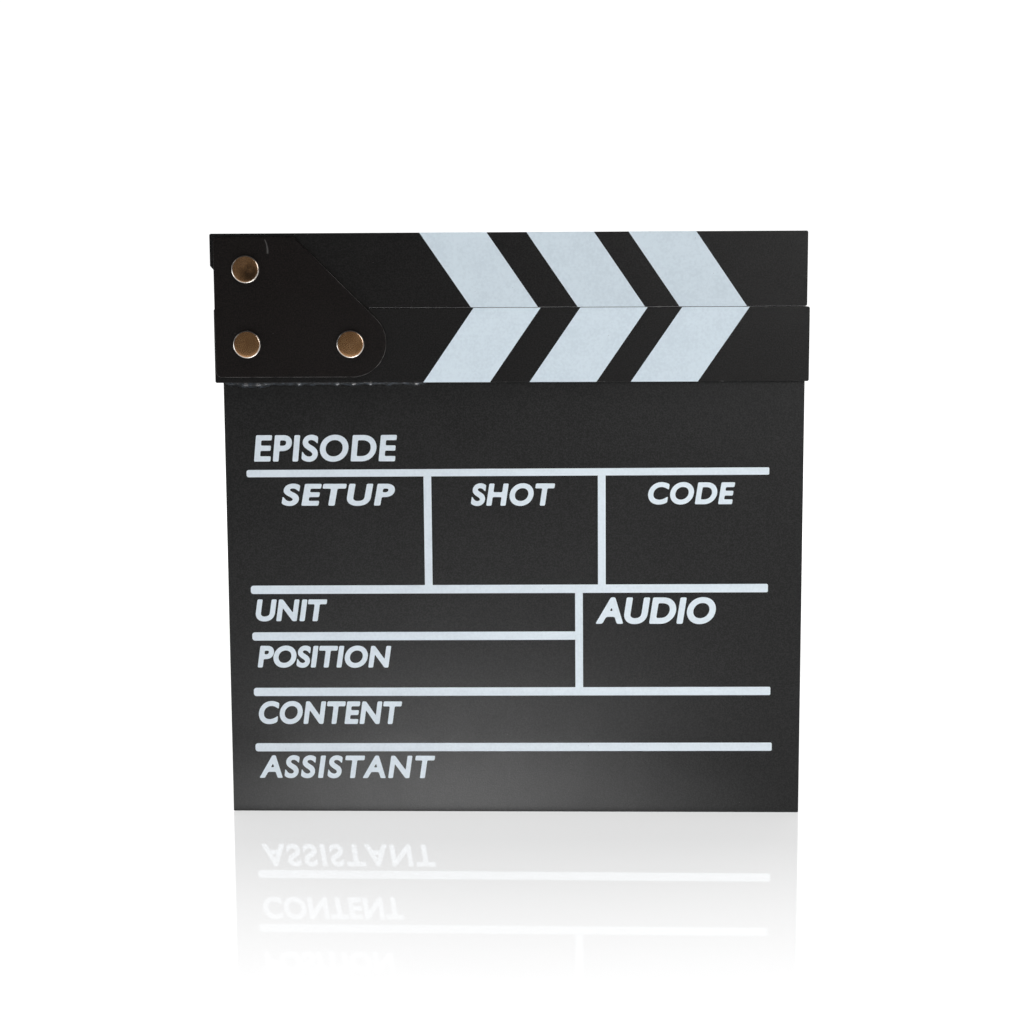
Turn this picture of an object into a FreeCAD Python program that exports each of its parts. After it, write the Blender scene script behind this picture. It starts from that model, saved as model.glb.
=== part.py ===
import FreeCAD, Part
import os

import Sketcher

# Clapperboard: a small film slate of painted fibreboard with two clap sticks.
# Millimetres, +Z up, +X to the right seen from the front, and the front faces -Y.
# The origin is the middle of the board's bottom edge.
#
# The board's top edge is glued into a groove in the lower stick. Two sheet plates, front and back,
# are riveted to the lower stick and reach up past it. The upper stick turns between them on the
# third rivet, and its lower left corner is cut away so that it can swing.

SIZES = {
    # Board: the height is what shows below the lower stick.
    "board_width": 197.0,
    "board_height": 150.0,
    "board_thickness": 3.0,
    "board_ease": 0.3,
    # Sticks: both have one section, and each sits a little to the left of the board's middle.
    "stick_length": 200.0,
    "stick_height": 24.9,
    "stick_thickness": 10.0,
    "stick_ease": 0.15,
    "stick_corner_radius": 0.6,
    "stick_gap": 0.2,
    "lower_stick_shift": 0.6,
    "upper_stick_shift": 1.5,
    # Groove joint between board and lower stick.
    "tongue_depth": 9.0,
    "glue_film": 0.15,
    # Glue squeezed out along the joint's front corner, left of the stripes.
    "bead_inset": 0.4,
    "bead_swell_length": 9.0,
    "bead_tail_length": 51.0,
    "bead_start_leg": 0.5,
    "bead_swell_leg": 1.9,
    "bead_tail_leg": 0.7,
    # Rivet places, from the left end of the lower stick and from each stick's bottom edge.
    "rivet_inset": 11.3,
    "rivet_spacing": 34.9,
    "rivet_rise": 13.0,
    # Rivets: a pin half in front and a socket half behind.
    "rivet_cap_radius": 4.75,
    "rivet_cap_height": 1.4,
    "rivet_cap_round": 0.75,
    "rivet_tube_radius": 2.0,
    "rivet_bore_radius": 1.3,
    "rivet_pin_clearance": 0.05,
    "rivet_end_gap": 0.3,
    "rivet_hole_clearance": 0.1,
    "pivot_clearance": 0.08,
    # Hinge plates: margins are measured from the rivet that each edge goes round.
    "plate_thickness": 0.8,
    "plate_ease": 0.2,
    "plate_left_margin": 10.9,
    "plate_top_margin": 10.7,
    "plate_nose_radius": 11.5,
    "plate_nose_offset": 0.4,
    "plate_corner_radius": 2.0,
    "plate_clearance": 0.15,
    # Swing relief: the cut at the upper stick's corner starts this far above the pivot.
    "relief_rise": 1.2,
    # White stripes, placed from each stick's left end along the edge where the sticks meet.
    "film_thickness": 0.1,
    "stripe_start": 87.6,
    "stripe_width": 22.5,
    "stripe_first_pitch": 35.8,
    "stripe_second_pitch": 34.05,
    "stripe_lean_angle": 34.5,
    # Printed field rules: heights and places are those of a rule's middle line.
    "title_rule_height": 119.05,
    "title_rule_width": 2.5,
    "slate_rule_height": 78.75,
    "date_rule_height": 62.4,
    "crew_rule_height": 42.8,
    "last_rule_height": 23.1,
    "rule_width": 2.9,
    "divider_width": 2.65,
    "rule_left_margin": 7.75,
    "upper_rule_right_margin": 11.4,
    "lower_rule_right_margin": 10.0,
    "left_divider_place": 69.3,
    "right_divider_place": 128.75,
    "lower_divider_place": 120.9,
}

# Places that several pieces share, written in the sheet's names.
BOARD_LEFT = "(-Sizes.board_width / 2)"
BOARD_FRONT = "(-Sizes.board_thickness / 2)"
LOWER_STICK_LEFT = "(-Sizes.stick_length / 2 - Sizes.lower_stick_shift)"
UPPER_STICK_LEFT = "(-Sizes.stick_length / 2 - Sizes.upper_stick_shift)"
UPPER_STICK_BOTTOM = "(Sizes.board_height + Sizes.stick_height + Sizes.stick_gap)"
UPPER_STICK_THICKNESS = "(Sizes.stick_thickness - 2 * Sizes.plate_clearance)"
UPPER_STICK_FRONT = f"(-{UPPER_STICK_THICKNESS} / 2)"
STICK_FRONT = "(-Sizes.stick_thickness / 2)"
GROOVE_WIDTH = "(Sizes.board_thickness + 2 * Sizes.glue_film)"
GROOVE_DEPTH = "(Sizes.tongue_depth + Sizes.glue_film)"
LEFT_RIVET_X = f"({LOWER_STICK_LEFT} + Sizes.rivet_inset)"
RIGHT_RIVET_X = f"({LEFT_RIVET_X} + Sizes.rivet_spacing)"
LOWER_RIVET_Z = "(Sizes.board_height + Sizes.rivet_rise)"
PIVOT_Z = f"({UPPER_STICK_BOTTOM} + Sizes.rivet_rise)"
PIVOT_FROM_END = f"({LEFT_RIVET_X} - {UPPER_STICK_LEFT})"
RIVET_HOLE_RADIUS = "(Sizes.rivet_tube_radius + Sizes.rivet_hole_clearance)"
PIVOT_HOLE_RADIUS = "(Sizes.rivet_tube_radius + Sizes.pivot_clearance)"
RIVET_STACK = "(Sizes.stick_thickness + 2 * Sizes.plate_thickness)"
PLATE_LEFT = f"({LEFT_RIVET_X} - Sizes.plate_left_margin)"
PLATE_BOTTOM = f"({LOWER_RIVET_Z} + Sizes.plate_nose_offset - Sizes.plate_nose_radius)"

doc = FreeCAD.newDocument("clapperboard")
sheet = doc.addObject("Spreadsheet::Sheet", "Sizes")
for row, (alias, number) in enumerate(SIZES.items(), start=1):
    sheet.set(f"A{row}", alias)
    sheet.set(f"B{row}", str(number))
    sheet.setAlias(f"B{row}", alias)
doc.recompute()

pieces = []


def value(expression):
    """The number that an expression on the sheet comes to."""
    return float(sheet.evalExpression(expression))


def place(item, x="0", y="0", z="0"):
    """Bind an object's position to expressions."""
    for axis, expression in (("x", x), ("y", y), ("z", z)):
        item.setExpression(f"Placement.Base.{axis}", expression)


def new_body(label):
    """An empty body that becomes one named piece."""
    body = doc.addObject("PartDesign::Body", label)
    body.Label = label
    pieces.append(body)
    return body


def new_sketch(body, name, role, offset="0"):
    """A sketch on one of the body's own origin planes, moved along that plane's normal."""
    sketch = body.newObject("Sketcher::SketchObject", f"{body.Name}_{name}")
    plane = next(feature for feature in body.Origin.OriginFeatures if feature.Role == role)
    sketch.AttachmentSupport = [(plane, "")]
    sketch.MapMode = "FlatFace"
    sketch.setExpression("AttachmentOffset.Base.z", offset)
    return sketch


def pin_point(sketch, geometry, point, x, y):
    """Hold a sketch point at (x, y) from the sketch's origin."""
    for kind, axis, expression in (("DistanceX", -2, x), ("DistanceY", -1, y)):
        if expression == "0":
            sketch.addConstraint(Sketcher.Constraint("PointOnObject", geometry, point, axis))
            continue
        held = Sketcher.Constraint(kind, -1, 1, geometry, point, value(expression))
        index = sketch.addConstraint(held)
        sketch.setExpression(f"Constraints[{index}]", expression)


def polygon(sketch, corners):
    """A closed outline of straight lines through corners given as pairs of expressions."""
    points = [FreeCAD.Vector(value(x), value(y), 0) for x, y in corners]
    lines = [Part.LineSegment(a, b) for a, b in zip(points, points[1:] + points[:1])]
    indices = sketch.addGeometry(lines, False)
    for index, follower in zip(indices, indices[1:] + indices[:1]):
        sketch.addConstraint(Sketcher.Constraint("Coincident", index, 2, follower, 1))
    for index, (x, y) in zip(indices, corners):
        pin_point(sketch, index, 1, x, y)


def rectangle(sketch, width, height):
    """A rectangle with one corner at the sketch's origin."""
    polygon(sketch, [("0", "0"), (width, "0"), (width, height), ("0", height)])


def circle(sketch, x, y, radius):
    """A circle whose centre and radius follow expressions."""
    centre = FreeCAD.Vector(value(x), value(y), 0)
    ring = Part.Circle(centre, FreeCAD.Vector(0, 0, 1), value(radius))
    index = sketch.addGeometry(ring, False)
    pin_point(sketch, index, 3, x, y)
    size = sketch.addConstraint(Sketcher.Constraint("Radius", index, value(radius)))
    sketch.setExpression(f"Constraints[{size}]", radius)


def pad(body, sketch, length, side="Symmetric", reverse=False):
    """Give a sketch its thickness."""
    feature = body.newObject("PartDesign::Pad", f"{sketch.Name}_pad")
    feature.Profile = sketch
    feature.SideType = side
    feature.Reversed = reverse
    feature.setExpression("Length", length)
    doc.recompute()
    return feature


def cut(body, sketch, length=None):
    """Cut a sketch out of the body, evenly both ways from its plane, and right through without a length."""
    before = body.Shape.Volume
    feature = body.newObject("PartDesign::Pocket", f"{sketch.Name}_cut")
    feature.Profile = sketch
    feature.SideType = "Symmetric"
    if length is None:
        feature.Type = "ThroughAll"
    else:
        feature.setExpression("Length", length)
    doc.recompute()
    if body.Shape.Volume >= before:
        raise RuntimeError(f"{feature.Name} cut nothing")


def round_off(body, base, names, radius):
    """Round the named edges, or every edge of the named faces."""
    feature = body.newObject("PartDesign::Fillet", f"{base.Name}_{len(body.Group)}_round")
    feature.Base = (base, names)
    feature.setExpression("Radius", radius)
    doc.recompute()
    return feature


def all_edges(shape):
    """Names of all of a shape's edges."""
    return [f"Edge{index}" for index in range(1, len(shape.Edges) + 1)]


def corner_edges(shape):
    """Names of the edges that run from front to back between two flat faces, from left to right."""
    found = []
    for index, edge in enumerate(shape.Edges, start=1):
        sides = [face for face in shape.Faces if any(edge.isSame(other) for other in face.Edges)]
        flat = all(isinstance(face.Surface, Part.Plane) for face in sides)
        box = edge.BoundBox
        if flat and box.YLength > max(box.XLength, box.ZLength):
            found.append((box.XMin, f"Edge{index}"))
    return [name for left, name in sorted(found)]


def end_face(shape, front):
    """Name of the shape's frontmost or rearmost face."""
    depths = [(face.CenterOfMass.y, f"Face{index}") for index, face in enumerate(shape.Faces, start=1)]
    depth, name = min(depths) if front else max(depths)
    return name


def round_stick(body, bar):
    """Round a stick's corners, then ease the edges of its front and back."""
    bar = round_off(body, bar, corner_edges(bar.Shape), "Sizes.stick_corner_radius")
    faces = [end_face(bar.Shape, front) for front in (True, False)]
    round_off(body, bar, faces, "Sizes.stick_ease")


def make_slate_board():
    """The writing panel, with the strip that goes up into the lower stick."""
    body = new_body("slate_board")
    outline = new_sketch(body, "outline", "XZ_Plane")
    rectangle(outline, "Sizes.board_width", "Sizes.board_height + Sizes.tongue_depth")
    panel = pad(body, outline, "Sizes.board_thickness")
    round_off(body, panel, all_edges(panel.Shape), "Sizes.board_ease")
    place(body, x=BOARD_LEFT)


def make_lower_stick():
    """The fixed clap stick: grooved below for the board and drilled for two rivets."""
    body = new_body("lower_stick")
    outline = new_sketch(body, "outline", "XZ_Plane")
    rectangle(outline, "Sizes.stick_length", "Sizes.stick_height")
    round_stick(body, pad(body, outline, "Sizes.stick_thickness"))
    groove = new_sketch(body, "groove", "XZ_Plane")
    rectangle(groove, "Sizes.stick_length", GROOVE_DEPTH)
    cut(body, groove, GROOVE_WIDTH)
    holes = new_sketch(body, "rivet_holes", "XZ_Plane")
    for x in ("Sizes.rivet_inset", "Sizes.rivet_inset + Sizes.rivet_spacing"):
        circle(holes, x, "Sizes.rivet_rise", RIVET_HOLE_RADIUS)
    cut(body, holes)
    place(body, x=LOWER_STICK_LEFT, z="Sizes.board_height")


def make_upper_stick():
    """The moving clap stick: its corner is cut from the end to the point below the pivot."""
    body = new_body("upper_stick")
    outline = new_sketch(body, "outline", "XZ_Plane")
    polygon(outline, [
        (PIVOT_FROM_END, "0"),
        ("Sizes.stick_length", "0"),
        ("Sizes.stick_length", "Sizes.stick_height"),
        ("0", "Sizes.stick_height"),
        ("0", "Sizes.rivet_rise + Sizes.relief_rise"),
    ])
    round_stick(body, pad(body, outline, UPPER_STICK_THICKNESS))
    hole = new_sketch(body, "pivot_hole", "XZ_Plane")
    circle(hole, PIVOT_FROM_END, "Sizes.rivet_rise", PIVOT_HOLE_RADIUS)
    cut(body, hole)
    place(body, x=UPPER_STICK_LEFT, z=UPPER_STICK_BOTTOM)


def make_hinge_plate(label, front):
    """A sheet plate with a round nose at its far rivet and a slope from there to its top edge."""
    body = new_body(label)
    left_rivet = "Sizes.plate_left_margin"
    right_rivet = f"({left_rivet} + Sizes.rivet_spacing)"
    lower_rivet = "(Sizes.plate_nose_radius - Sizes.plate_nose_offset)"
    pivot = f"({lower_rivet} + Sizes.stick_height + Sizes.stick_gap)"
    top = f"({pivot} + Sizes.plate_top_margin)"
    slope_foot = f"({right_rivet} + Sizes.plate_nose_offset + Sizes.plate_nose_radius * (1 + sqrt(2)))"
    outline = new_sketch(body, "outline", "XZ_Plane")
    polygon(outline, [("0", "0"), (slope_foot, "0"), (f"{slope_foot} - {top}", top), ("0", top)])
    sheet_metal = pad(body, outline, "Sizes.plate_thickness", "One side", reverse=not front)
    nose = corner_edges(sheet_metal.Shape)[-1:]
    sheet_metal = round_off(body, sheet_metal, nose, "Sizes.plate_nose_radius")
    corners = corner_edges(sheet_metal.Shape)
    sheet_metal = round_off(body, sheet_metal, corners, "Sizes.plate_corner_radius")
    round_off(body, sheet_metal, [end_face(sheet_metal.Shape, front)], "Sizes.plate_ease")
    holes = new_sketch(body, "rivet_holes", "XZ_Plane")
    for x, z in ((left_rivet, lower_rivet), (right_rivet, lower_rivet), (left_rivet, pivot)):
        circle(holes, x, z, RIVET_HOLE_RADIUS)
    cut(body, holes)
    seat = STICK_FRONT if front else f"-{STICK_FRONT}"
    place(body, x=PLATE_LEFT, y=seat, z=PLATE_BOTTOM)


def make_rivet(name, x, z):
    """A rivet: the pin half's cap shows in front, and its pin sits in the socket half's tube."""
    cap_radius = "Sizes.rivet_cap_radius"
    cap_height = "Sizes.rivet_cap_height"
    tube_radius = "Sizes.rivet_tube_radius"
    bore_radius = "Sizes.rivet_bore_radius"
    pin_radius = f"({bore_radius} - Sizes.rivet_pin_clearance)"
    tip = f"({cap_height} + {RIVET_STACK} - Sizes.rivet_end_gap)"
    cap = [("0", "0"), (cap_radius, "0"), (cap_radius, cap_height)]
    pin = [(pin_radius, cap_height), (pin_radius, tip), ("0", tip)]
    tube = [(tube_radius, cap_height), (tube_radius, tip), (bore_radius, tip), (bore_radius, cap_height)]
    top = f"({RIVET_STACK} / 2 + {cap_height})"
    make_rivet_half(f"{name}_pin", cap + pin, x, f"-{top}", z)
    socket = make_rivet_half(f"{name}_socket", cap + tube + [("0", cap_height)], x, top, z)
    socket.Placement.Rotation = FreeCAD.Rotation(FreeCAD.Vector(0, 0, 1), 180)


def make_rivet_half(label, profile, x, y, z):
    """One turned half of a rivet, whose cap's outer face lies at y."""
    body = new_body(label)
    section = new_sketch(body, "section", "XY_Plane")
    polygon(section, profile)
    turned = body.newObject("PartDesign::Revolution", f"{label}_turned")
    turned.Profile = section
    turned.ReferenceAxis = (section, ["V_Axis"])
    doc.recompute()
    round_off(body, turned, [end_face(turned.Shape, front=True)], "Sizes.rivet_cap_round")
    place(body, x=x, y=y, z=z)
    return body


def make_groove_glue():
    """The film of glue between board and groove: two sides and the bottom of the groove."""
    body = new_body("groove_glue")
    film = "Sizes.glue_film"
    section = new_sketch(body, "section", "YZ_Plane")
    polygon(section, [
        ("0", "0"),
        (film, "0"),
        (film, "Sizes.tongue_depth"),
        (f"{film} + Sizes.board_thickness", "Sizes.tongue_depth"),
        (f"{film} + Sizes.board_thickness", "0"),
        (GROOVE_WIDTH, "0"),
        (GROOVE_WIDTH, GROOVE_DEPTH),
        ("0", GROOVE_DEPTH),
    ])
    pad(body, section, "Sizes.board_width", "One side")
    place(body, x=BOARD_LEFT, y=f"-{GROOVE_WIDTH} / 2", z="Sizes.board_height")


def make_glue_bead():
    """Glue pressed out of the joint at the left: a bead that swells and then tails off."""
    body = new_body("glue_bead")
    swell = "Sizes.bead_swell_length"
    stations = (
        ("start", "0", "Sizes.bead_start_leg"),
        ("swell", swell, "Sizes.bead_swell_leg"),
        ("tail", f"2 * {swell}", "Sizes.bead_tail_leg"),
        ("end", f"2 * {swell} + Sizes.bead_tail_length", "Sizes.bead_start_leg"),
    )
    sections = []
    for name, along, leg in stations:
        section = new_sketch(body, name, "YZ_Plane", offset=along)
        reach = "Sizes.bead_swell_leg"
        polygon(section, [(reach, reach), (f"{reach} - {leg}", reach), (reach, f"{reach} - {leg}")])
        sections.append(section)
    bead = body.newObject("PartDesign::AdditiveLoft", "glue_bead_loft")
    bead.Profile = sections[0]
    bead.Sections = sections[1:]
    bead.Ruled = True
    doc.recompute()
    place(
        body,
        x=f"{BOARD_LEFT} + Sizes.bead_inset",
        y=f"{BOARD_FRONT} - Sizes.bead_swell_leg",
        z="Sizes.board_height - Sizes.bead_swell_leg",
    )


def make_stripes(stick, left, bottom, front, leans_down):
    """Three white stripes across a stick's front face, each leaning away from the other stick's."""
    height = "Sizes.stick_height"
    lean = f"({height} * tan(Sizes.stripe_lean_angle))"
    starts = (
        "Sizes.stripe_start",
        "(Sizes.stripe_start + Sizes.stripe_first_pitch)",
        "(Sizes.stripe_start + Sizes.stripe_first_pitch + Sizes.stripe_second_pitch)",
    )
    low = [("0", "0"), ("Sizes.stripe_width", "0")]
    high = [(f"{lean} + Sizes.stripe_width", height), (lean, height)]
    if not leans_down:
        low = [(lean, "0"), (f"{lean} + Sizes.stripe_width", "0")]
        high = [("Sizes.stripe_width", height), ("0", height)]
    for number, start in enumerate(starts, start=1):
        body = new_body(f"{stick}_stripe_{number}")
        outline = new_sketch(body, "outline", "XZ_Plane")
        polygon(outline, low + high)
        pad(body, outline, "Sizes.film_thickness", "One side")
        place(body, x=f"{left} + {start} - {lean}", y=front, z=bottom)


def make_field_rules():
    """The printed lines that divide the board's front into fields, joined where they cross."""
    left = f"({BOARD_LEFT} + Sizes.rule_left_margin)"
    upper_end = "(Sizes.board_width / 2 - Sizes.upper_rule_right_margin)"
    lower_end = "(Sizes.board_width / 2 - Sizes.lower_rule_right_margin)"
    divider = f"({BOARD_LEFT} + Sizes.lower_divider_place)"
    rules = (
        ("title_rule", upper_end, "Sizes.title_rule_height", "Sizes.title_rule_width"),
        ("slate_rule", upper_end, "Sizes.slate_rule_height", "Sizes.rule_width"),
        ("date_rule", divider, "Sizes.date_rule_height", "Sizes.rule_width"),
        ("crew_rule", lower_end, "Sizes.crew_rule_height", "Sizes.rule_width"),
        ("last_rule", lower_end, "Sizes.last_rule_height", "Sizes.rule_width"),
    )
    dividers = (
        ("left_divider", "Sizes.slate_rule_height", "Sizes.title_rule_height"),
        ("right_divider", "Sizes.slate_rule_height", "Sizes.title_rule_height"),
        ("lower_divider", "Sizes.crew_rule_height", "Sizes.slate_rule_height"),
    )
    bars = [
        make_bar(name, left, f"{height} - {width} / 2", f"{end} - {left}", width)
        for name, end, height, width in rules
    ]
    half = "Sizes.divider_width / 2"
    for name, low, high in dividers:
        x = f"{BOARD_LEFT} + Sizes.{name}_place - {half}"
        bars.append(make_bar(name, x, low, "Sizes.divider_width", f"{high} - {low}"))
    print_layer = doc.addObject("Part::MultiFuse", "field_rules")
    print_layer.Label = "field_rules"
    print_layer.Shapes = bars
    print_layer.Refine = True
    pieces.append(print_layer)


def make_bar(name, x, z, length, height):
    """One straight bar of the print on the board's front face."""
    bar = doc.addObject("Part::Box", name)
    bar.setExpression("Length", length)
    bar.setExpression("Width", "Sizes.film_thickness")
    bar.setExpression("Height", height)
    place(bar, x=x, y=f"{BOARD_FRONT} - Sizes.film_thickness", z=z)
    return bar


def check_and_write():
    """Refuse a failed object or a bad shape, then write one file for each piece."""
    doc.recompute()
    for item in doc.Objects:
        if "Invalid" in item.State or "Error" in item.State:
            raise RuntimeError(f"{item.Label} failed: {item.State}")
    os.makedirs("parts", exist_ok=True)
    for piece in pieces:
        if piece.Shape.isNull() or not piece.Shape.isValid() or not piece.Shape.Solids:
            raise RuntimeError(f"{piece.Label} has no valid solid")
    for piece in pieces:
        piece.Shape.exportStep(f"parts/{piece.Label}.step")
        print(f"{piece.Label}: {len(piece.Shape.Solids)} solid(s), {piece.Shape.Volume:.1f} mm3")


make_slate_board()
make_lower_stick()
make_upper_stick()
make_hinge_plate("front_hinge_plate", front=True)
make_hinge_plate("back_hinge_plate", front=False)
make_rivet("pivot_rivet", LEFT_RIVET_X, PIVOT_Z)
make_rivet("lower_left_rivet", LEFT_RIVET_X, LOWER_RIVET_Z)
make_rivet("lower_right_rivet", RIGHT_RIVET_X, LOWER_RIVET_Z)
make_groove_glue()
make_glue_bead()
make_stripes("upper", UPPER_STICK_LEFT, UPPER_STICK_BOTTOM, UPPER_STICK_FRONT, leans_down=False)
make_stripes("lower", LOWER_STICK_LEFT, "Sizes.board_height", STICK_FRONT, leans_down=True)
make_field_rules()
check_and_write()
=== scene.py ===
"""Looks of a small film slate: paint, rivets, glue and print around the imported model.

Lengths are metres in the part's own frame: +Z is up, +X is to the right seen from the front, and
the front faces -Y. Sizes written in millimetres carry the factor MM.
"""

import logging
import math
from abc import ABC, abstractmethod
from collections.abc import Iterable
from dataclasses import dataclass, field
from enum import Enum
from functools import cached_property
from typing import Any, Union

import bmesh
import bpy
from mathutils import Matrix, Vector, noise


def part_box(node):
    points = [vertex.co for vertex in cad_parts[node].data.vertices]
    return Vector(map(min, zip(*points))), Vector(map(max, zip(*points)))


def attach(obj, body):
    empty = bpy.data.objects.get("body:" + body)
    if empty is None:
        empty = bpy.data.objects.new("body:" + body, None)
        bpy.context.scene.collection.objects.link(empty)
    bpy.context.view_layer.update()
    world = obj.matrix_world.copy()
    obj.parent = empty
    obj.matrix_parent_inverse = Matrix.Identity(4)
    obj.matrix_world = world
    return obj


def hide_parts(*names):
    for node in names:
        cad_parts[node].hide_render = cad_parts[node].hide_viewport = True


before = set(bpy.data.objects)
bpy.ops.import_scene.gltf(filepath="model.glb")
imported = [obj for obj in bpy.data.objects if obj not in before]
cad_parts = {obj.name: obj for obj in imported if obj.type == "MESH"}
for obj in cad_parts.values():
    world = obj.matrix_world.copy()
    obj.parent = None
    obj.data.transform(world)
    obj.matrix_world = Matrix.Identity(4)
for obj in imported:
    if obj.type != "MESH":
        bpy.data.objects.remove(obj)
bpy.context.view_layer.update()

MM = 0.001
MERGE_DISTANCE = 0.0005 * MM
SHARP_ANGLE = math.radians(35.0)
NOISE_MEAN = 0.5
LOG = logging.getLogger("clapperboard")

Colour = tuple[float, float, float]
Triple = tuple[float, float, float]
Span = tuple[float, float]
Outline = list[tuple[float, float]]
Number = Union[float, "Signal"]
X_AXIS = Vector((1.0, 0.0, 0.0))
Y_AXIS = Vector((0.0, 1.0, 0.0))
WHITE: Colour = (1.0, 1.0, 1.0)


class Body(Enum):
    """The two bodies that the clap hinge joins."""

    SLATE = "slate"
    CLAP_STICK = "clap_stick"


class Slot(Enum):
    """The record's material slots, handed to new pieces but not read by them."""

    RIVET = "rivet_metal"
    GLUE = "clear_glue"
    INK = "white_ink"


class RivetHalf(Enum):
    """The two halves of a capped rivet, with the side that each cap faces along Y."""

    PIN = -1
    SOCKET = 1


class Signal:
    """A number or colour that varies over a surface: an output socket with arithmetic."""

    def __init__(self, graph: "Graph", socket: bpy.types.NodeSocket) -> None:
        """Keep the socket and the graph that it belongs to."""
        self.graph = graph
        self.socket = socket

    def __add__(self, other: Number) -> "Signal":
        """Sum with a number on the right."""
        return self.graph.math("ADD", self, other)

    def __radd__(self, other: float) -> "Signal":
        """Sum with a number on the left."""
        return self.graph.math("ADD", other, self)

    def __sub__(self, other: Number) -> "Signal":
        """Difference with a number on the right."""
        return self.graph.math("SUBTRACT", self, other)

    def __rsub__(self, other: float) -> "Signal":
        """Difference with a number on the left."""
        return self.graph.math("SUBTRACT", other, self)

    def __mul__(self, other: Number) -> "Signal":
        """Product with a number on the right."""
        return self.graph.math("MULTIPLY", self, other)

    def __rmul__(self, other: float) -> "Signal":
        """Product with a number on the left."""
        return self.graph.math("MULTIPLY", other, self)

    def __pow__(self, other: float) -> "Signal":
        """Power of this number."""
        return self.graph.math("POWER", self, other)


class Graph:
    """The node tree of one material or of the world."""

    def __init__(self, tree: bpy.types.NodeTree) -> None:
        """Empty the tree and keep it."""
        tree.nodes.clear()
        self.tree = tree

    def node(
        self,
        kind: str,
        settings: dict[str, Any] | None = None,
        inputs: dict[int | str, Any] | None = None,
    ) -> bpy.types.Node:
        """Add one node.

        Args:
            kind: the node's type.
            settings: the node's own attributes, which are set first.
            inputs: values or signals, by the socket's name or number.

        Returns:
            The new node.
        """
        made = self.tree.nodes.new(kind)
        for name, value in (settings or {}).items():
            setattr(made, name, value)
        for key, value in (inputs or {}).items():
            socket = made.inputs[key]
            if isinstance(value, Signal):
                self.tree.links.new(value.socket, socket)
            elif socket.type == "RGBA":
                socket.default_value = (*value, 1.0)
            else:
                socket.default_value = value
        return made

    def signal(
        self,
        kind: str,
        settings: dict[str, Any] | None = None,
        inputs: dict[int | str, Any] | None = None,
        output: int | str = 0,
    ) -> Signal:
        """Add one node and take one of its outputs.

        Args:
            kind: the node's type.
            settings: the node's own attributes.
            inputs: values or signals for its sockets.
            output: the output's name or number.

        Returns:
            That output as a signal.
        """
        return Signal(self, self.node(kind, settings, inputs).outputs[output])

    def math(self, operation: str, *values: Number) -> Signal:
        """Add one Math node over the given numbers."""
        return self.signal("ShaderNodeMath", {"operation": operation}, dict(enumerate(values)))

    @cached_property
    def point(self) -> Signal:
        """Object coordinates: the part's own frame, in metres."""
        return self.signal("ShaderNodeTexCoord", output="Object")

    def axes(self, point: Signal) -> list[Signal]:
        """Split a point into its three coordinates."""
        parts = self.node("ShaderNodeSeparateXYZ", inputs={"Vector": point})
        return [Signal(self, output) for output in parts.outputs]

    def centred(self, centre: Vector) -> Signal:
        """Object coordinates measured from a centre."""
        return self.signal("ShaderNodeMapping", inputs={"Vector": self.point, "Location": -centre})

    def step(self, value: Signal, start: float, end: float) -> Signal:
        """A soft step that is 0 at start and 1 at end, where start may be the larger."""
        ends = {"Value": value, "From Min": start, "From Max": end}
        return self.signal("ShaderNodeMapRange", {"interpolation_type": "SMOOTHSTEP"}, ends)

    def near(self, gap: Signal, reach: float, core: float = 0.3) -> Signal:
        """A mask that is 1 within the core share of a reach and 0 from the reach on."""
        return self.step(gap, reach, core * reach)

    def ramp(self, value: Signal, start: float, end: float) -> Signal:
        """A straight ramp that is 0 up to start and 1 from end on."""
        ends = {"Value": value, "From Min": start, "From Max": end}
        return self.signal("ShaderNodeMapRange", inputs=ends)

    def distance(self, along: Signal, up: Signal) -> Signal:
        """Length of a flat vector from its two parts."""
        return self.math("SQRT", along**2.0 + up**2.0)

    def mix(self, first: Colour | Signal, second: Colour | Signal, share: Signal) -> Signal:
        """Blend two colours by a share of the second."""
        ends = {0: share, 6: first, 7: second}
        return self.signal("ShaderNodeMix", {"data_type": "RGBA"}, ends, output=2)

    def noise(self, size: float, detail: float = 2.0, stretch: Triple = (1.0, 1.0, 1.0)) -> Signal:
        """Cloudy noise between 0 and 1.

        Args:
            size: the width of one cloud, in metres.
            detail: how many finer layers it has.
            stretch: how far a cloud is drawn out along each axis.

        Returns:
            The noise as a signal.
        """
        scale = tuple(1.0 / (size * part) for part in stretch)
        place = self.signal("ShaderNodeMapping", inputs={"Vector": self.point, "Scale": scale})
        inputs = {"Vector": place, "Scale": 1.0, "Detail": detail}
        return self.signal("ShaderNodeTexNoise", inputs=inputs)

    def specks(self, spacing: float, radius: float, share: float) -> Signal:
        """Scattered round specks.

        Args:
            spacing: the width of the cell that may hold one speck.
            radius: a speck's radius.
            share: the share of cells that hold one.

        Returns:
            A mask that is 1 on a speck.
        """
        inputs = {"Vector": self.point, "Scale": 1.0 / spacing}
        cells = self.node("ShaderNodeTexVoronoi", inputs=inputs)
        colour = Signal(self, cells.outputs["Color"])
        draw = self.signal("ShaderNodeSeparateColor", inputs={0: colour})
        gap = Signal(self, cells.outputs["Distance"])
        return self.near(gap, radius / spacing, core=0.5) * self.math("LESS_THAN", draw, share)

    def edge_distance(self, low: Vector, high: Vector) -> Signal:
        """Distance from the nearest edge of a box, for a point on its surface.

        Args:
            low: the box's lowest corner.
            high: its highest corner.

        Returns:
            The middle one of the distances to the nearest side along each axis.
        """
        along, across, up = (
            self.math("MINIMUM", axis - start, end - axis)
            for axis, start, end in zip(self.axes(self.point), low, high)
        )
        nearer = self.math("MINIMUM", along, across)
        farther = self.math("MAXIMUM", along, across)
        return self.math("MAXIMUM", nearer, self.math("MINIMUM", farther, up))

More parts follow.
